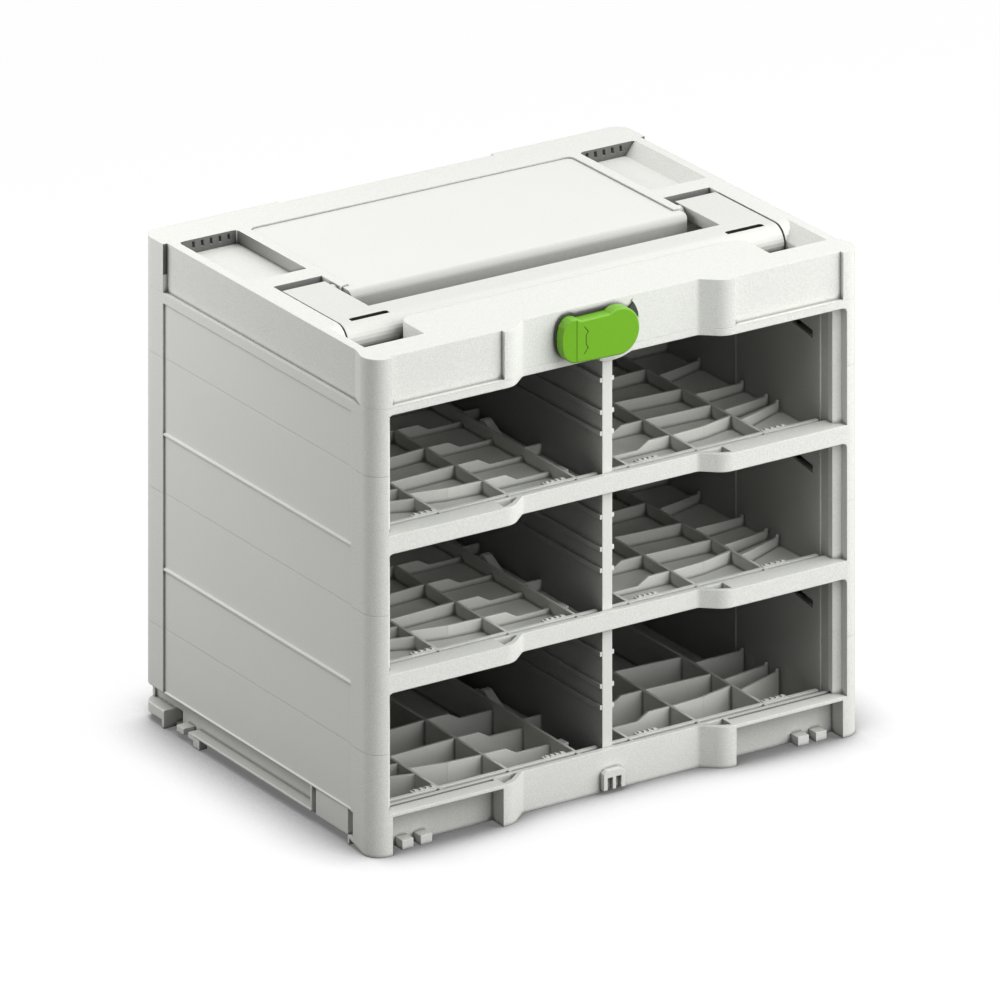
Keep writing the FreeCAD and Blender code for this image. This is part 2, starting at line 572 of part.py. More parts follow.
def rib_floor(z0, height):
    """right-hand rib floor of a bay, standing on the plate at z0"""
    deep = height > SHELF_RIB_H
    zt = z0 + height
    bars = []
    for x in RIB_X:
        bars.append(box(x - RIB_T / 2, x + RIB_T / 2, LEDGE_IN_Y + 0.2, RIB_BACK_Y, z0, zt))
    y0, y1 = CROSS_WALL_Y
    bars.append(box(DIVIDER_HALF + 0.2, INNER_X - 1.4, y0, y1, z0, zt))
    bars.append(box(DIVIDER_HALF + 0.2, INNER_X - 1.4, y0 - CROSS_BEAD[0], y1, zt - CROSS_BEAD[1], zt))
    bars.append(box(DIVIDER_HALF + 0.2, INNER_X - 1.4, RIB_BACK_Y - 2, RIB_BACK_Y, z0, zt - 1.0))
    low = zt - STEP_DROP
    rows = 3 if deep else 6
    for y in (-94.0, -60.4, -22.8, 16.0, 57.0, 98.0)[:rows]:
        tops = [(0, low), (0.5, low), (0.667, zt - 0.3), (1, zt - 0.3)]
        bars.append(rib(RIB_X[0], y, RIB_X[1], y, tops, z0))
    flat = [(0, zt - 0.2), (1, zt - 0.2)]
    bars.append(rib(RIB_X[1], -94.6, 104.0, -92.6, flat, z0))
    bars.append(rib(104.0, -92.6, RIB_X[2], -86.4, flat, z0))
    for ya, yb in ((-60.4, -62.6), (-22.8, -26.5), (16.0, 18.0), (57.0, 57.0), (98.0, 98.0))[:rows - 1]:
        bars.append(rib(RIB_X[1], ya, RIB_X[2], yb, flat, z0))
    reach = INNER_X - 1.4
    fall = [(0, zt - 0.2), (0.95, zt - 2.6), (0.97, zt - 1.2), (1, zt - 1.2)]
    outer = ((-97.0, -78.0), (-76.0, -64.5), (-40.0, -34.5), (3.5, 17.8), (58.0, 58.3), (98.0, 98.0))
    for ya, yb in outer[:rows]:
        bars.append(rib(RIB_X[2], ya, reach, yb, fall, z0))
    for y in (-56.0, 21.5, 99.0)[:rows // 2]:
        bars.append(box(DIVIDER_HALF + 0.2, RIB_X[0], y - 1, y + 1, z0, zt - 1.5))
    for x0, x1 in ((132.0, 151.6), (28.5, 46.5)):
        bars.append(box(x0, x1, CROSS_WALL_Y[0] + 0.2, -120.6, zt - 3.0, zt + 0.4))
        for k in range(4):
            x = x0 + 2.2 + (x1 - x0 - 6.0) * k / 3
            bars.append(box(x, x + 1.6, CROSS_WALL_Y[0] + 0.8, -121.4, zt - 1.0, zt + 1.1))
    bars.append(front_wedge(z0, zt))
    if deep:
        bridge_z = zt - SHELF_RIB_H
        bridge = box(DIVIDER_HALF + 0.2, RIB_X[0], -56.0, 21.5, bridge_z - PLATE_T, bridge_z)
        x0, x1 = CHANNEL_X
        y0, y1 = CHANNEL_Y[1]
        opening = box(x0, x1, y0, y1, bridge_z - PLATE_T - 1, bridge_z + 1)
        bars.append(bridge.cut([catch_slot(bridge_z), opening]))
    return fuse(bars)


def front_wedge(z0, zt):
    """fixed run-in ramp in the channel beside the divider"""
    pts = [(-106.0, z0), (-106.0, zt - 1.6), (-97.0, zt - 2.0), (-84.0, z0 + 1.0), (-84.0, z0)]
    return side_prism(pts, 14.5, RIB_X[0])


def divider(z0, z1, row):
    """upright wall between two bays, with three guide rails on each side"""
    wall = box(-DIVIDER_HALF, DIVIDER_HALF, DIVIDER_Y0, BACK_IN_Y - 0.2, z0, z1)
    if row < 2:
        over = bay_z(row + 1) - LIP_H
        wall = wall.common(box(-9, 9, -200, 200, z0, over))
    rails = []
    for above in (63.1, 41.4, 27.1):
        z = bay_z(row) + above
        rails += both(box(DIVIDER_HALF - 0.2, DIVIDER_HALF + 1.7, DIVIDER_Y0 + 0.3, 120.0, z - 1.5, z + 1.5))
    return fuse([wall] + rails)


def liner(z0, z1, row):
    """right inner side wall of a bay, stepped in twice towards the back"""
    x_out = 180.6
    wall = box(THROAT_X, THROAT_X + 2.2, POST_BACK_Y + 0.02, -124.4, z0, z1)
    joggle = box(INNER_X, THROAT_X + 2.2, -126.2, -124.0, z0, z1)
    middle = box(INNER_X, x_out, -126.2, -24.8, z0, z1)
    rear = box(INNER_X - 1.0, x_out, -24.8, BACK_IN_Y - 0.2, z0, z1)
    top = bay_z(row) + 52.0
    body = fuse([wall, joggle, middle, rear])
    under_ledge = box(INNER_X, THROAT_X + 3, POST_BACK_Y - 1, LEDGE_IN_Y, z0 - 1, bay_z(row))
    body = body.cut([front_frame_window(top), under_ledge])
    shelf = box(x_out - 0.9, x_out + 5.0, -117.0, -91.0, top - 1.0, top + 0.6)
    return fuse([body, shelf])


def front_frame_window(top):
    """slanting slot through a liner for a drawer's stop"""
    pts = [(-117.5, top - 0.5), (-117.5, top + 5.2), (-90.5, top + 9.0), (-90.5, top + 3.4)]
    return side_prism(pts, INNER_X - 3, INNER_X + 6)


def drawer_catch(z_plate):
    """sprung tongue lying in its plate's slot and rising to the back"""
    y0, y1 = CATCH_Y
    zc = z_plate - PLATE_T / 2
    top = z_plate + CATCH_RISE
    low = zc - CATCH_ROOT_R
    high = zc + CATCH_ROOT_R
    pts = [(y0, low), (y0 + 6.0, low), (y1 - 4.0, top - 2.6), (y1 - 1.0, top - 2.6), (y1, top - 1.6),
           (y1, top - 0.5), (y1 - 0.8, top), (y1 - 5.0, top), (y0 + 4.5, high), (y0, high)]
    tongue = side_prism(pts, CATCH_X[0], CATCH_X[1])
    root = Part.makeCylinder(CATCH_ROOT_R, CATCH_X[1] - CATCH_X[0], V(CATCH_X[0], y0, zc), V(1, 0, 0))
    return fuse([tongue, root])


def carry_handle():
    back, turn, r = -56.0, -72.6, 12.3
    profile = [(back, 318.0), (back, HANDLE_TOP_Z), (turn, HANDLE_TOP_Z)]
    for k in range(1, 9):
        a = math.radians(90 + 90 * k / 8)
        profile.append((turn + r * math.cos(a), HANDLE_TOP_Z - r + r * math.sin(a)))
    profile += [(-84.4, 314.6), (-80.6, 312.2), (back - 4.0, 312.2), (back - 1.0, 314.0)]
    bar = side_prism(profile, -ARM_OUT, ARM_OUT)
    under = side_prism([(-60.0, 311.0), (-60.0, 325.4), (-73.0, 326.4), (-80.4, 320.0), (-80.4, 311.0)],
                       -ARM_OUT + 4.0, ARM_OUT - 4.0)
    bar = bar.cut(under)
    parts = [bar]
    parts += both(box(ARM_IN, ARM_OUT, back - 1.0, -0.7, 322.2, HANDLE_TOP_Z))
    ear = Part.makeCylinder(7.2, ARM_OUT - EAR_IN, V(EAR_IN, PIVOT_Y, PIVOT_Z), V(1, 0, 0))
    parts += both(ear)
    handle = fuse(parts)
    tools = both(Part.makeCylinder(PIN_R + RUN_CLEAR, 50.0, V(ARM_IN - 5, PIVOT_Y, PIVOT_Z), V(1, 0, 0)))
    x0, x1, y, r = 139.6, 165.4, -71.6, 2.4
    slot = [box(x0, x1, y - r, y + r, 323.0, HANDLE_TOP_Z + 1)]
    for x in (x0, x1):
        slot.append(Part.makeCylinder(r, 8.0, V(x, y, 323.0), V(0, 0, 1)))
    tools += both(fuse(slot))
    return cut(handle, tools)


def handle_pins():
    pin = Part.makeCylinder(PIN_R, 44.0, V(138.2, PIVOT_Y, PIVOT_Z), V(1, 0, 0))
    return Part.makeCompound(both(pin))


def wing_points(left=0.0, top=0.0):
    """front outline of the latch's wing, thicker grip end on the left, with growth to two sides"""
    half = top / 2
    pts = [(0.0, 13.5 + top), (-31.0, 13.3 + top), (-33.4, 14.5 + top), (-36.2, 15.2 + half),
           (-39.2, 15.0 + half), (-42.0 - left / 2, 13.4 + half), (-44.6 - left, 10.0), (-45.7 - left, 5.0),
           (-46.0 - left, 1.0), (-45.7 - left, -4.0), (-44.6 - left, -8.0), (-42.6 - left / 2, -11.0),
           (-39.4, -13.6), (-36.6, -14.5), (-33.0, -14.8), (-16.0, -15.4), (0.0, -HUB_R)]
    return [(x, HUB_Z + z) for x, z in pts]


def latch_toggle():
    face = LATCH_FRONT_Y
    wing = front_prism(wing_points(), face, LATCH_BACK_Y)
    hub = Part.makeCylinder(HUB_R, LATCH_BACK_Y - face, V(0, face, HUB_Z), V(0, 1, 0))
    spindle = Part.makeCylinder(SPINDLE_R, 8.0, V(0, LATCH_BACK_Y - 0.5, HUB_Z), V(0, 1, 0))
    toggle = fuse([wing, hub])
    rim = [e for e in toggle.Edges if all(abs(v.Point.y - face) < 0.01 for v in e.Vertexes)]
    toggle = fuse([toggle.makeChamfer(0.9, rim), spindle])
    grooves = [box(-35.3, -34.8, face - 1, face + 0.3, HUB_Z - 25, HUB_Z + 25)]
    mark = [(-28.9, 8.6), (-26.0, 4.9), (-27.7, 2.8), (-27.7, -3.2), (-26.0, -5.9), (-28.9, -9.2)]
    for (xa, za), (xb, zb) in zip(mark, mark[1:]):
        grooves.append(stroke(xa, za + HUB_Z, xb, zb + HUB_Z, 0.6, face))
    bore = Part.makeCylinder(2.2, 9.0, V(0, LATCH_BACK_Y - 1.4, HUB_Z), V(0, 1, 0))
    return cut(toggle, [grip_facet(face), bore, fuse(grooves[1:]), grooves[0]])


def stroke(xa, za, xb, zb, width, face):
    """shallow groove between two points of the latch's face"""
    length = math.hypot(xb - xa, zb - za)
    bar = box(-width / 2, length + width / 2, -1.0, 0.4, -width / 2, width / 2)
    bar.rotate(V(0, 0, 0), V(0, -1, 0), math.degrees(math.atan2(zb - za, xb - xa)))
    bar.translate(V(xa, face, za))
    return bar


def grip_facet(face):
    """slight facet on the grip end of the latch"""
    edges = [V(-35.0, face, HUB_Z - 25), V(-52.0, face + 1.3, HUB_Z - 25), V(-52.0, face - 2, HUB_Z - 25),
             V(-35.0, face - 2, HUB_Z - 25)]
    wire = Part.makePolygon(edges + [edges[0]])
    return Part.Face(wire).extrude(V(0, 0, 50))


def latch_backplate():
    """dark plate moulded under the latch, a little larger than its wing"""
    wing = front_prism(wing_points(0.6, 2.0), LATCH_BACK_Y, LATCH_BACK_Y + 1.2)
    hub = Part.makeCylinder(HUB_R - 0.4, 1.2, V(0, LATCH_BACK_Y, HUB_Z), V(0, 1, 0))
    hole = Part.makeCylinder(SPINDLE_R + 0.02, 4.0, V(0, LATCH_BACK_Y - 1, HUB_Z), V(0, 1, 0))
    return cut(fuse([wing, hub]), [hole])


def stop_sector(spread=0.0):
    """plan of the sector that the latch's stop takes up beside the hub"""
    pts = [(0.0, HUB_Z)]
    for degrees in (11.0 - spread, 24.0, 37.0 + spread):
        pts.append(on_arc(0.0, HUB_Z, 30.0, degrees))
    return pts


def latch_seat():
    """dark disc under the latch, with the stop that shows beside the hub"""
    y0 = LATCH_BACK_Y + 1.4
    disc = Part.makeCylinder(SEAT_STOP_R, CENTRE_Y - y0, V(0, y0, HUB_Z), V(0, 1, 0))
    stop = disc.common(front_prism(stop_sector(), -150, -130))
    seat = Part.makeCylinder(HUB_R - 1.4, CENTRE_Y - y0, V(0, y0, HUB_Z), V(0, 1, 0))
    seat = fuse([seat, stop]).common(box(-30, 30, -150, -130, SEAM_4 + 0.1, DECK_Z - 0.4))
    hole = Part.makeCylinder(SPINDLE_R + RUN_CLEAR, 9.0, V(0, y0 - 1, HUB_Z), V(0, 1, 0))
    return cut(seat, [hole])


def latch_retainer():
    """pan-head screw and washer that hold the latch from behind the fascia"""
    end_y = LATCH_BACK_Y + 7.5
    head = Part.makeCylinder(8.5, 1.6, V(0, end_y, HUB_Z), V(0, 1, 0))
    cap = Part.makeCylinder(4.2, 2.4, V(0, end_y + 1.5, HUB_Z), V(0, 1, 0))
    shank = Part.makeCylinder(2.18, 7.0, V(0, end_y - 6.9, HUB_Z), V(0, 1, 0))
    cross = [box(-2.4, 2.4, end_y + 3.0, end_y + 5.0, HUB_Z - 0.4, HUB_Z + 0.4),
             box(-0.4, 0.4, end_y + 3.0, end_y + 5.0, HUB_Z - 2.4, HUB_Z + 2.4)]
    return cut(fuse([head, cap, shank]), cross)


def build():
    nodes = {
        "base_housing": base_housing(),
        "lower_shelf_housing": shelf_housing(SEAM_1, SEAM_2, 1),
        "upper_shelf_housing": shelf_housing(SEAM_2, SEAM_3, 2),
        "top_frame": top_frame(),
        "lid_deck": lid_deck(),
        "top_cover": top_cover(),
        "carry_handle": carry_handle(),
        "handle_pivot_pins": handle_pins(),
        "latch_toggle": latch_toggle(),
        "latch_backplate": latch_backplate(),
        "latch_seat": latch_seat(),
        "latch_retainer": latch_retainer(),
    }
    tiers = ("lower", "middle", "upper")
    for row, tier in enumerate(tiers):
        ledge = bay_z(row)
        plate = BASE_FLOOR_Z if row == 0 else ledge - LIP_H + PLATE_T
        height = BASE_RIB_H if row == 0 else SHELF_RIB_H
        roof = bay_z(row + 1) - LIP_H
        right = rib_floor(plate, height)
        nodes["rib_floor_%s_right" % tier] = right
        nodes["rib_floor_%s_left" % tier] = mirrored(right)
        nodes["divider_%s" % tier] = divider(plate, roof, row)
        wall = liner(plate, roof, row)
        nodes["side_liner_%s_right" % tier] = wall
        nodes["side_liner_%s_left" % tier] = mirrored(wall)
        catch = drawer_catch(plate + height - SHELF_RIB_H)
        nodes["drawer_catch_%s_right" % tier] = catch
        nodes["drawer_catch_%s_left" % tier] = mirrored(catch)
    return nodes


os.makedirs("parts", exist_ok=True)
for name, shape in build().items():
    shape.exportStep("parts/%s.step" % name)
    print(name, shape.isValid(), len(shape.Solids), round(shape.Volume / 1000.0, 1))
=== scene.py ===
import math

import bmesh
import bpy
from mathutils import Matrix, Vector

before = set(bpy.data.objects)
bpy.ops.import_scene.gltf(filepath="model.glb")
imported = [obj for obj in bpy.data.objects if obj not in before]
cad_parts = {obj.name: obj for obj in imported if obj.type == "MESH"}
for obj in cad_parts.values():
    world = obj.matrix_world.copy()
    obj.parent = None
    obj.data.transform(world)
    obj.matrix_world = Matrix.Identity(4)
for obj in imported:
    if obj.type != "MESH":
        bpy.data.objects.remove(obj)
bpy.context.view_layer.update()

# the view: a lens far off, its film plane upright, raised above the rack
AZIMUTH = math.radians(33.0458)
ELEVATION = math.radians(20.484)
EYE = (-4.29878, -6.60673, 3.09773)
LENS_MM = 442.71
FILM_MM = 36.0
CLIP_START, CLIP_END = 0.5, 60.0

# lamps and world: a large soft key ahead on the right, a small fill behind on the left
WORLD_LEVEL = 0.34
KEY_WATTS = 41.0
KEY_AT = (0.78, -0.97, 1.16)
KEY_AIM = (0.0, 0.0, 0.16)
KEY_SIZE = 2.4
FILL_WATTS = 3.2
FILL_AT = (-0.62, 0.48, 0.62)
FILL_AIM = (-0.198, 0.05, 0.20)
FILL_SIZE = 0.5

# floor: its tone as other surfaces see it, then its tone and glow in the view
FLOOR_BOUNCE = 0.33
FLOOR_LIT = 0.08
FLOOR_GLOW = 0.94
FLOOR_HALF = 12.0
FLOOR_ROUGH = 0.95
FLOOR_CLOUD = 0.01
FLOOR_CLOUD_SCALE, FLOOR_CLOUD_DETAIL, FLOOR_CLOUD_ROUGH = 1.3, 1.0, 0.4
# painted contact shadow on the floor around the case
FLOOR_CONTACT_SHADOW = {"Reach mm": 72.0, "Darkest": 0.16, "Low": 0.34, "High": 0.93}

# colours, linear
SHELL = (0.82, 0.828, 0.785)
HANDLE = (0.755, 0.762, 0.722)
GREEN = (0.180, 0.470, 0.014)
DARK = (0.060, 0.062, 0.060)
STEEL = (0.55, 0.55, 0.54)
WHITE = (1.0, 1.0, 1.0, 1.0)

METRES_PER_MM = 0.001

# plastic and steel: height of the relief, gloss, how much the grain changes the roughness
BUMP_DISTANCE = 0.0006
PLASTIC_SPECULAR = 0.35
PLASTIC_ROUGH_SPREAD = 0.12
METAL_ROUGH = 0.32
METAL_ROUGH_SPREAD = 0.2
METAL_GRAIN_MM = 0.4
# the smooth mouldings, the share of the grain that the side panels lose, and the painted shade in
# narrow joints
SMOOTH = {"grain": 1.2, "depth": 0.4, "bump": 0.05}
PANEL_SMOOTHING = 0.8
CREVICE_SHADE = {"Reach mm": 4.5, "Low": 0.45, "High": 0.80}

# moulded grain: the fine speckle, the wide slow change, and how far each moves the tone
FINE_DETAIL, FINE_ROUGH, FINE_SPREAD = 2.0, 0.55, 0.26
WIDE_SCALE, WIDE_DETAIL, WIDE_ROUGH, WIDE_SPREAD = 14.0, 2.0, 0.5, 0.03

# cosines between a flat and a rounded normal, where the painted corner highlight starts and where it
# is full
CORNER_COSINES = (0.99, 0.75)
# a wall faces an axis when its normal goes along the axis by more than this
FACING = 0.8

# the lid's pockets, metres: the box that holds their walls, which are painted with shade
POCKET_OUTSIDE_X = 0.1335
POCKET_Y = (0.0, 0.13)
POCKET_Z = (0.310, 0.3312)
# walls that face the front further back than this keep half the painted tone, a deeper painted shade
BACK_WALL_Y, BACK_WALL_CHANGE = 0.10, -0.5
# inner side walls of the rear pockets, and the tone that painted shade takes from them from front to
# rear
INNER_WALL_X, INNER_WALL_REACH = 0.1407, 0.0006
INNER_WALL_Y = 0.026
INNER_FADE_Y = (0.030, 0.114)
INNER_FADE = (0.50, 0.80)

# the slots in the handle's arms, painted black inside as shade, metres: middle and half size, then the
# range of height
SLOT_X, SLOT_HALF_X = 0.1525, 0.01535
SLOT_Y, SLOT_HALF_Y = -0.0716, 0.00245
SLOT_Z = (0.3225, 0.33066)

# the cover's rolled nose, metres: from full painted shade to none
NOSE_Y = (-0.0246, -0.0196)

# the recessed panels on the sides, metres
PANEL_OUTSIDE_X = 0.1935
PANEL_Y = (-0.1206, 0.119)
PANEL_TOP_Z = 0.2906


class Wires:
    """short hand for adding and joining nodes in a tree"""

    def __init__(self, tree):
        self.tree = tree

    def add(self, kind, **settings):
        node = self.tree.nodes.new("ShaderNode" + kind)
        for key, value in settings.items():
            setattr(node, key, value)
        return node

    def feed(self, socket, value):
        """joins a socket to another one or gives it a plain value"""
        if isinstance(value, bpy.types.NodeSocket):
            self.tree.links.new(value, socket)
        else:
            socket.default_value = value

    def feed_all(self, sockets, values):
        for label, value in values.items():
            self.feed(sockets[label], value)

    def group(self, name, values):
        """places a shared group with its inputs filled, and returns its outputs"""
        node = self.tree.nodes.new("ShaderNodeGroup")
        node.node_tree = bpy.data.node_groups[name]
        self.feed_all(node.inputs, values)
        return node.outputs

    def math(self, operation, a, b=0.0, c=0.0):
        node = self.add("Math", operation=operation)
        for socket, value in zip(node.inputs, (a, b, c)):
            self.feed(socket, value)
        return node.outputs[0]

    def product(self, first, *others):
        for other in others:
            first = self.math("MULTIPLY", first, other)
        return first

    def within(self, value, limits):
        """1 between two limits, 0 elsewhere"""
        low, high = limits
        return self.product(self.math("GREATER_THAN", value, low), self.math("LESS_THAN", value, high))

    def near(self, value, middle, reach):
        """1 closer to a middle than a reach, 0 elsewhere"""
        away = self.math("ABSOLUTE", self.math("SUBTRACT", value, middle))
        return self.math("LESS_THAN", away, reach)

    def loses(self, mask, share):
        """tone of 1 that loses a share inside a mask"""
        return self.math("SUBTRACT", 1.0, self.math("MULTIPLY", mask, share))

    def ramp(self, value, limits, tones=(0.0, 1.0)):
        """smooth way from one tone to the other between two limits"""
        node = self.add("MapRange", clamp=True, interpolation_type="SMOOTHSTEP")
        self.feed_all(node.inputs, {"Value": value, "From Min": limits[0], "From Max": limits[1],
                                    "To Min": tones[0], "To Max": tones[1]})
        return node.outputs[0]

    def noise(self, coords, scale, detail, rough):
        node = self.add("TexNoise")
        self.feed_all(node.inputs, {"Vector": coords, "Scale": scale, "Detail": detail,
                                    "Roughness": rough})
        return node.outputs["Fac"]

    def split(self, vector):
        """the x, y and z of a vector"""
        node = self.add("SeparateXYZ")
        self.feed(node.inputs[0], vector)
        return node.outputs

    def grey(self, tone):
        """a tone as a colour"""
        node = self.add("CombineColor")
        self.feed_all(node.inputs, {"Red": tone, "Green": tone, "Blue": tone})
        return node.outputs[0]

    def tinted(self, colour, tone):
        """a colour made lighter or darker by a tone"""
        node = self.add("VectorMath", operation="SCALE")
        self.feed(node.inputs[0], colour)
        self.feed(node.inputs["Scale"], tone)
        return node.outputs[0]


def new_group(name, inputs, outputs):
    """shader node group with named sockets, (name, kind, default) and (name, kind)

    Returns its wires, the sockets that bring values in and the ones that take them out.
    """
    g = bpy.data.node_groups.new(name, "ShaderNodeTree")
    for label, kind, value in inputs:
        s = g.interface.new_socket(label, in_out="INPUT", socket_type="NodeSocket" + kind)
        if value is not None:
            s.default_value = value
    for label, kind in outputs:
        g.interface.new_socket(label, in_out="OUTPUT", socket_type="NodeSocket" + kind)
    return Wires(g), g.nodes.new("NodeGroupInput").outputs, g.nodes.new("NodeGroupOutput").inputs


def mould_grain_group():
    """fine moulded texture: a height for bumps and a tone close to 1"""
    w, given, out = new_group(
        "mould_grain",
        [("Vector", "Vector", None), ("Grain mm", "Float", 0.9), ("Depth", "Float", 1.0)],
        [("Height", "Float"), ("Tone", "Float")])
    scale = w.math("DIVIDE", 1.0 / METRES_PER_MM, given["Grain mm"])
    fine = w.noise(given["Vector"], scale, FINE_DETAIL, FINE_ROUGH)
    wide = w.noise(given["Vector"], WIDE_SCALE, WIDE_DETAIL, WIDE_ROUGH)
    centred = w.math("SUBTRACT", fine, 0.5)
    w.feed(out["Height"], w.math("MULTIPLY", centred, given["Depth"]))
    spread = w.product(centred, FINE_SPREAD, given["Depth"])
    slow = w.math("MULTIPLY", w.math("SUBTRACT", wide, 0.5), WIDE_SPREAD)
    w.feed(out["Tone"], w.math("ADD", w.math("ADD", spread, slow), 1.0))


def corner_light_group():
    """mask of outer corners, from how far a rounded normal leaves the flat one"""
    w, given, out = new_group(
        "corner_light",
        [("Radius mm", "Float", 0.8), ("Normal", "Vector", None)],
        [("Normal", "Vector"), ("Corner", "Float")])
    bevel = w.add("Bevel", samples=6)
    w.feed(bevel.inputs["Radius"], w.math("MULTIPLY", given["Radius mm"], METRES_PER_MM))
    w.feed(bevel.inputs["Normal"], given["Normal"])
    dot = w.add("VectorMath", operation="DOT_PRODUCT")
    w.feed(dot.inputs[0], bevel.outputs["Normal"])
    w.feed(dot.inputs[1], w.add("NewGeometry").outputs["Normal"])
    w.feed(out["Normal"], bevel.outputs["Normal"])
    w.feed(out["Corner"], w.ramp(dot.outputs["Value"], CORNER_COSINES))


def closed_in_group():
    """painted shade from how closed in a spot is: 1 in the open, down to the darkest deep in a bay or
    slot
    """
    w, given, out = new_group(
        "painted_closed_in_shade",
        [("Reach mm", "Float", 300.0), ("Darkest", "Float", 0.42), ("Low", "Float", 0.20),
         ("High", "Float", 0.60), ("Normal", "Vector", None)],
        [("Tone", "Float")])
    open_share = w.add("AmbientOcclusion", samples=8)
    w.feed(open_share.inputs["Distance"], w.math("MULTIPLY", given["Reach mm"], METRES_PER_MM))
    w.feed(open_share.inputs["Normal"], given["Normal"])
    w.feed(out["Tone"], w.ramp(open_share.outputs["AO"], (given["Low"], given["High"]),
                               (given["Darkest"], 1.0)))


def lid_recess_group():
    """painted shade on the walls deep in the lid's pockets"""
    w, given, out = new_group(
        "lid_pocket_painted_shade", [("Vector", "Vector", None), ("Shade", "Float", 0.3)], [("Tone", "Float")])
    x, y, z = w.split(given["Vector"])
    facing_x, facing_y, _ = w.split(w.add("NewGeometry").outputs["Normal"])
    beside = w.math("ABSOLUTE", x)
    height = w.within(z, POCKET_Z)
    inside = w.math("LESS_THAN", y, POCKET_Y[1])
    # walls that face the front get painted shade
    front = w.product(w.math("LESS_THAN", facing_y, -FACING),
                      w.math("GREATER_THAN", beside, POCKET_OUTSIDE_X),
                      w.math("GREATER_THAN", y, POCKET_Y[0]), inside, height)
    back = w.math("GREATER_THAN", y, BACK_WALL_Y)
    shade = w.math("MULTIPLY", given["Shade"], w.math("MULTIPLY_ADD", back, BACK_WALL_CHANGE, 1.0))
    front_tone = w.loses(front, w.math("SUBTRACT", 1.0, shade))
    # inner side walls of the rear pockets get painted shade, darker towards the rear
    side = w.product(w.math("GREATER_THAN", w.math("ABSOLUTE", facing_x), FACING),
                     w.near(beside, INNER_WALL_X, INNER_WALL_REACH),
                     w.math("GREATER_THAN", y, INNER_WALL_Y), inside, height)
    side_tone = w.loses(side, w.ramp(y, INNER_FADE_Y, INNER_FADE))
    w.feed(out["Tone"], w.math("MULTIPLY", front_tone, side_tone))


def handle_slot_group():
    """painted shade that makes the inside of the deep slots in the handle's arms black"""
    w, given, out = new_group(
        "handle_slot_painted_shade", [("Vector", "Vector", None), ("Shade", "Float", 0.03)], [("Tone", "Float")])
    x, y, z = w.split(given["Vector"])
    mask = w.product(w.near(w.math("ABSOLUTE", x), SLOT_X, SLOT_HALF_X),
                     w.near(y, SLOT_Y, SLOT_HALF_Y), w.within(z, SLOT_Z))
    w.feed(out["Tone"], w.loses(mask, w.math("SUBTRACT", 1.0, given["Shade"])))


def nose_shade_group():
    """painted shade on the cover's rolled nose, which turns down into the handle's well"""
    w, given, out = new_group(
        "nose_painted_shade", [("Vector", "Vector", None), ("Shade", "Float", 0.66)], [("Tone", "Float")])
    _, y, _ = w.split(given["Vector"])
    w.feed(out["Tone"], w.ramp(y, NOSE_Y, (given["Shade"], 1.0)))


def side_panel_group():
    """mask of the smooth recessed panels on the sides of the case"""
    w, given, out = new_group("side_panel", [("Vector", "Vector", None)], [("Mask", "Float")])
    x, y, z = w.split(given["Vector"])
    mask = w.product(w.math("GREATER_THAN", w.math("ABSOLUTE", x), PANEL_OUTSIDE_X),
                     w.within(y, PANEL_Y), w.math("LESS_THAN", z, PANEL_TOP_Z))
    w.feed(out["Mask"], mask)


def new_material(name):
    """material with nodes; returns it, its wires, its shader's inputs and the object's coordinates"""
    m = bpy.data.materials.new(name)
    m.use_nodes = True
    w = Wires(m.node_tree)
    return m, w, m.node_tree.nodes["Principled BSDF"].inputs, w.add("TexCoord").outputs["Object"]


def plastic(name, colour, depth, grain=0.9, bump=0.10, rough=0.52, smooth_sides=False,
            corner=0.8, corner_highlight=0.10, darkest=0.42, low=0.20, high=0.60,
            crack_shade=0.38, shade="lid_pocket_painted_shade"):
    """moulded plastic: speckled grain, painted highlights on soft corners, painted shade in bays,
    cracks and recesses

    grain and corner are in mm, and depth scales the grain. The corner lift is a painted highlight on
    the corners. A spot as closed in as low has the darkest painted shade, and one as open as high has
    none. The tone deep in narrow joints is a painted shade, and shade names the group that paints
    shade into the piece's own recesses.
    """
    m, w, shader, coords = new_material(name)
    strength = depth
    if smooth_sides:
        panel = w.group("side_panel", {"Vector": coords})
        strength = w.math("MULTIPLY_ADD", panel["Mask"], -PANEL_SMOOTHING * depth, depth)
    texture = w.group("mould_grain", {"Vector": coords, "Grain mm": grain, "Depth": strength})
    relief = w.add("Bump")
    w.feed_all(relief.inputs, {"Height": texture["Height"], "Strength": bump,
                               "Distance": BUMP_DISTANCE})
    normal = relief.outputs["Normal"]
    rounded = w.group("corner_light", {"Radius mm": corner, "Normal": normal})
    # grain tone plus a painted highlight on the corners
    lift = w.math("MULTIPLY_ADD", rounded["Corner"], corner_highlight, texture["Tone"])
    # painted shade: darker in closed-in bays, in narrow joints and in the piece's own recesses
    bay = w.group("painted_closed_in_shade", {"Darkest": darkest, "Low": low, "High": high, "Normal": normal})
    crevice = w.group("painted_closed_in_shade", {**CREVICE_SHADE, "Darkest": crack_shade, "Normal": normal})
    recess = w.group(shade, {"Vector": coords})
    tone = w.product(bay["Tone"], crevice["Tone"], recess["Tone"])
    w.feed_all(shader, {
        "Base Color": w.tinted(colour, w.math("MULTIPLY", lift, tone)),
        "Roughness": w.math("MULTIPLY_ADD", texture["Height"], PLASTIC_ROUGH_SPREAD, rough),
        "Specular IOR Level": PLASTIC_SPECULAR,
        "Normal": rounded["Normal"],
    })
    return m


def metal(name, colour):
    """plain metal with a fine grain"""
    m, w, shader, coords = new_material(name)
    texture = w.group("mould_grain", {"Vector": coords, "Grain mm": METAL_GRAIN_MM})
    w.feed_all(shader, {
        "Base Color": w.tinted(colour, texture["Tone"]),
        "Metallic": 1.0,
        "Roughness": w.math("MULTIPLY_ADD", texture["Height"], METAL_ROUGH_SPREAD, METAL_ROUGH),
    })
    return m


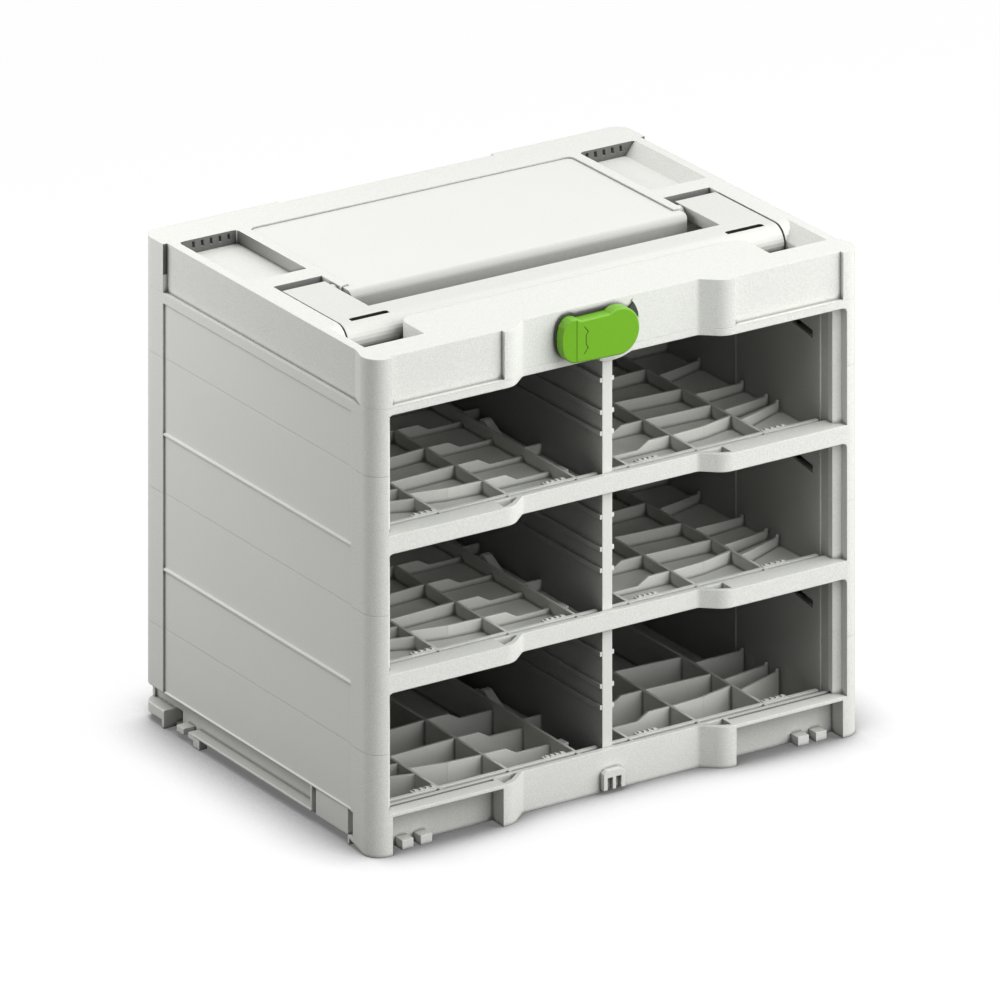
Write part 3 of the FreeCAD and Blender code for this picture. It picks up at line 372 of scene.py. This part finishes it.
def dress_nodes():
    """gives each node of the frame its material, by the start of its name"""
    # each plastic's painted corner highlight and painted shade in bays and joints are set here
    shell = plastic("shell_textured", SHELL, depth=1.6, smooth_sides=True, darkest=0.74)
    handle = plastic("handle_textured", HANDLE, depth=0.8, shade="handle_slot_painted_shade")
    smooth = plastic("shell_smooth", SHELL, **SMOOTH, rough=0.45, crack_shade=0.7, shade="nose_painted_shade")
    walls = plastic("shell_dividers", SHELL, **SMOOTH, rough=0.5, corner=0.5, corner_highlight=0.8,
                    darkest=0.24, crack_shade=0.95)
    liners = plastic("shell_liners", SHELL, **SMOOTH, rough=0.5, corner=0.5, corner_highlight=0.8,
                     darkest=0.44, crack_shade=0.95)
    ribs = plastic("shell_ribs", SHELL, **SMOOTH, rough=0.5, corner=0.6, corner_highlight=0.35,
                   darkest=0.65, low=0.05, high=0.45)
    catches = plastic("catch_plain", SHELL, **SMOOTH, rough=0.5, corner=0.6, corner_highlight=0.6,
                      darkest=1.0, crack_shade=0.8)
    green = plastic("latch_green", GREEN, grain=1.0, depth=0.6, bump=0.06, rough=0.38, corner=1.0)
    dark = plastic("latch_dark", DARK, grain=0.8, depth=0.8, bump=0.08, rough=0.5, corner=0.5)
    steel = metal("pin_steel", STEEL)
    chosen = {
        "top_cover": smooth, "carry_handle": handle, "latch_toggle": green,
        "latch_backplate": dark, "latch_seat": dark, "latch_retainer": steel,
        "handle_pivot_pins": steel, "drawer_catch": catches, "rib_floor": ribs,
        "divider": walls, "side_liner": liners,
    }
    for name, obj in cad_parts.items():
        material = next((m for start, m in chosen.items() if name.startswith(start)), shell)
        obj.data.materials.clear()
        obj.data.materials.append(material)


def add_object(name, data):
    obj = bpy.data.objects.new(name, data)
    bpy.context.scene.collection.objects.link(obj)
    return obj


def sheared_camera():
    """camera whose film plane stays upright while it looks down on the case"""
    a, e = AZIMUTH, ELEVATION
    right = Vector((math.cos(a), -math.sin(a), 0.0))
    up = Vector((0.0, 0.0, 1.0))
    back = Vector((-math.sin(a) * math.cos(e), -math.cos(a) * math.cos(e), math.sin(e)))
    # up and back aren't square to each other. The holder stretches the two square directions that
    # lie between them, so that a camera turned by half a right angle gets just these two.
    plane_up = (up + back).normalized()
    plane_out = (back - up).normalized()
    half = math.acos(up.dot(back)) / 2
    stretch_up = math.cos(half) * math.sqrt(2.0)
    stretch_out = math.sin(half) * math.sqrt(2.0)
    turn = Matrix((right, plane_up, plane_out)).transposed()
    holder = add_object("camera_holder", None)
    holder.matrix_world = (Matrix.Translation(EYE) @ turn.to_4x4()
                           @ Matrix.Diagonal((1.0, stretch_up, stretch_out, 1.0)))
    data = bpy.data.cameras.new("camera")
    data.sensor_width = FILM_MM
    data.lens = LENS_MM
    data.clip_start = CLIP_START
    data.clip_end = CLIP_END
    camera = add_object("camera", data)
    camera.parent = holder
    camera.rotation_euler = (math.radians(-45.0), 0.0, 0.0)
    bpy.context.scene.camera = camera


def softbox(name, at, aim, size, watts):
    """square lamp at a place, turned towards another"""
    data = bpy.data.lights.new(name, "AREA")
    data.size = size
    data.energy = watts
    lamp = add_object(name, data)
    lamp.location = at
    lamp.rotation_mode = "QUATERNION"
    lamp.rotation_quaternion = (Vector(at) - Vector(aim)).to_track_quat("Z", "Y")


def white_world():
    """white in the view and in gloss, and softer as a light on other surfaces"""
    world = bpy.data.worlds.new("studio")
    bpy.context.scene.world = world
    world.use_nodes = True
    w = Wires(world.node_tree)
    path = w.add("LightPath").outputs
    seen = w.math("MAXIMUM", path["Is Camera Ray"], path["Is Transmission Ray"])
    seen = w.math("MAXIMUM", seen, path["Is Glossy Ray"])
    w.feed_all(world.node_tree.nodes["Background"].inputs, {
        "Color": WHITE,
        "Strength": w.ramp(seen, (0.0, 1.0), (WORLD_LEVEL, 1.0)),
    })


def floor_material():
    """pale floor that is white in the view, apart from the shade close to the case, which is mostly a
    painted contact shadow and partly real shadow from the lamps
    """
    m, w, shader, coords = new_material("floor_pale")
    seen = w.add("LightPath").outputs["Is Camera Ray"]
    cloud = w.noise(coords, FLOOR_CLOUD_SCALE, FLOOR_CLOUD_DETAIL, FLOOR_CLOUD_ROUGH)
    # painted contact shadow, in both the floor's tone and its glow
    contact_shadow = w.group("painted_closed_in_shade", FLOOR_CONTACT_SHADOW)["Tone"]
    plain = w.math("MULTIPLY_ADD", cloud, FLOOR_CLOUD,
                   w.ramp(seen, (0.0, 1.0), (FLOOR_BOUNCE, FLOOR_LIT)))
    w.feed_all(shader, {
        "Base Color": w.grey(w.math("MULTIPLY", plain, contact_shadow)),
        "Roughness": FLOOR_ROUGH,
        "Specular IOR Level": 0.0,
        "Emission Color": w.grey(contact_shadow),
        "Emission Strength": w.math("MULTIPLY", seen, FLOOR_GLOW),
    })
    return m


def pale_floor():
    """wide floor under the case"""
    mesh = bpy.data.meshes.new("floor")
    bm = bmesh.new()
    bmesh.ops.create_grid(bm, x_segments=2, y_segments=2, size=FLOOR_HALF)
    bm.to_mesh(mesh)
    bm.free()
    mesh.materials.append(floor_material())
    floor = add_object("floor", mesh)


for make_group in (mould_grain_group, corner_light_group, closed_in_group, lid_recess_group,
                   handle_slot_group, nose_shade_group, side_panel_group):
    make_group()
dress_nodes()
white_world()
softbox("key", KEY_AT, KEY_AIM, KEY_SIZE, KEY_WATTS)
softbox("fill", FILL_AT, FILL_AIM, FILL_SIZE, FILL_WATTS)
pale_floor()
sheared_camera()
bpy.context.scene.view_settings.view_transform = "Standard"
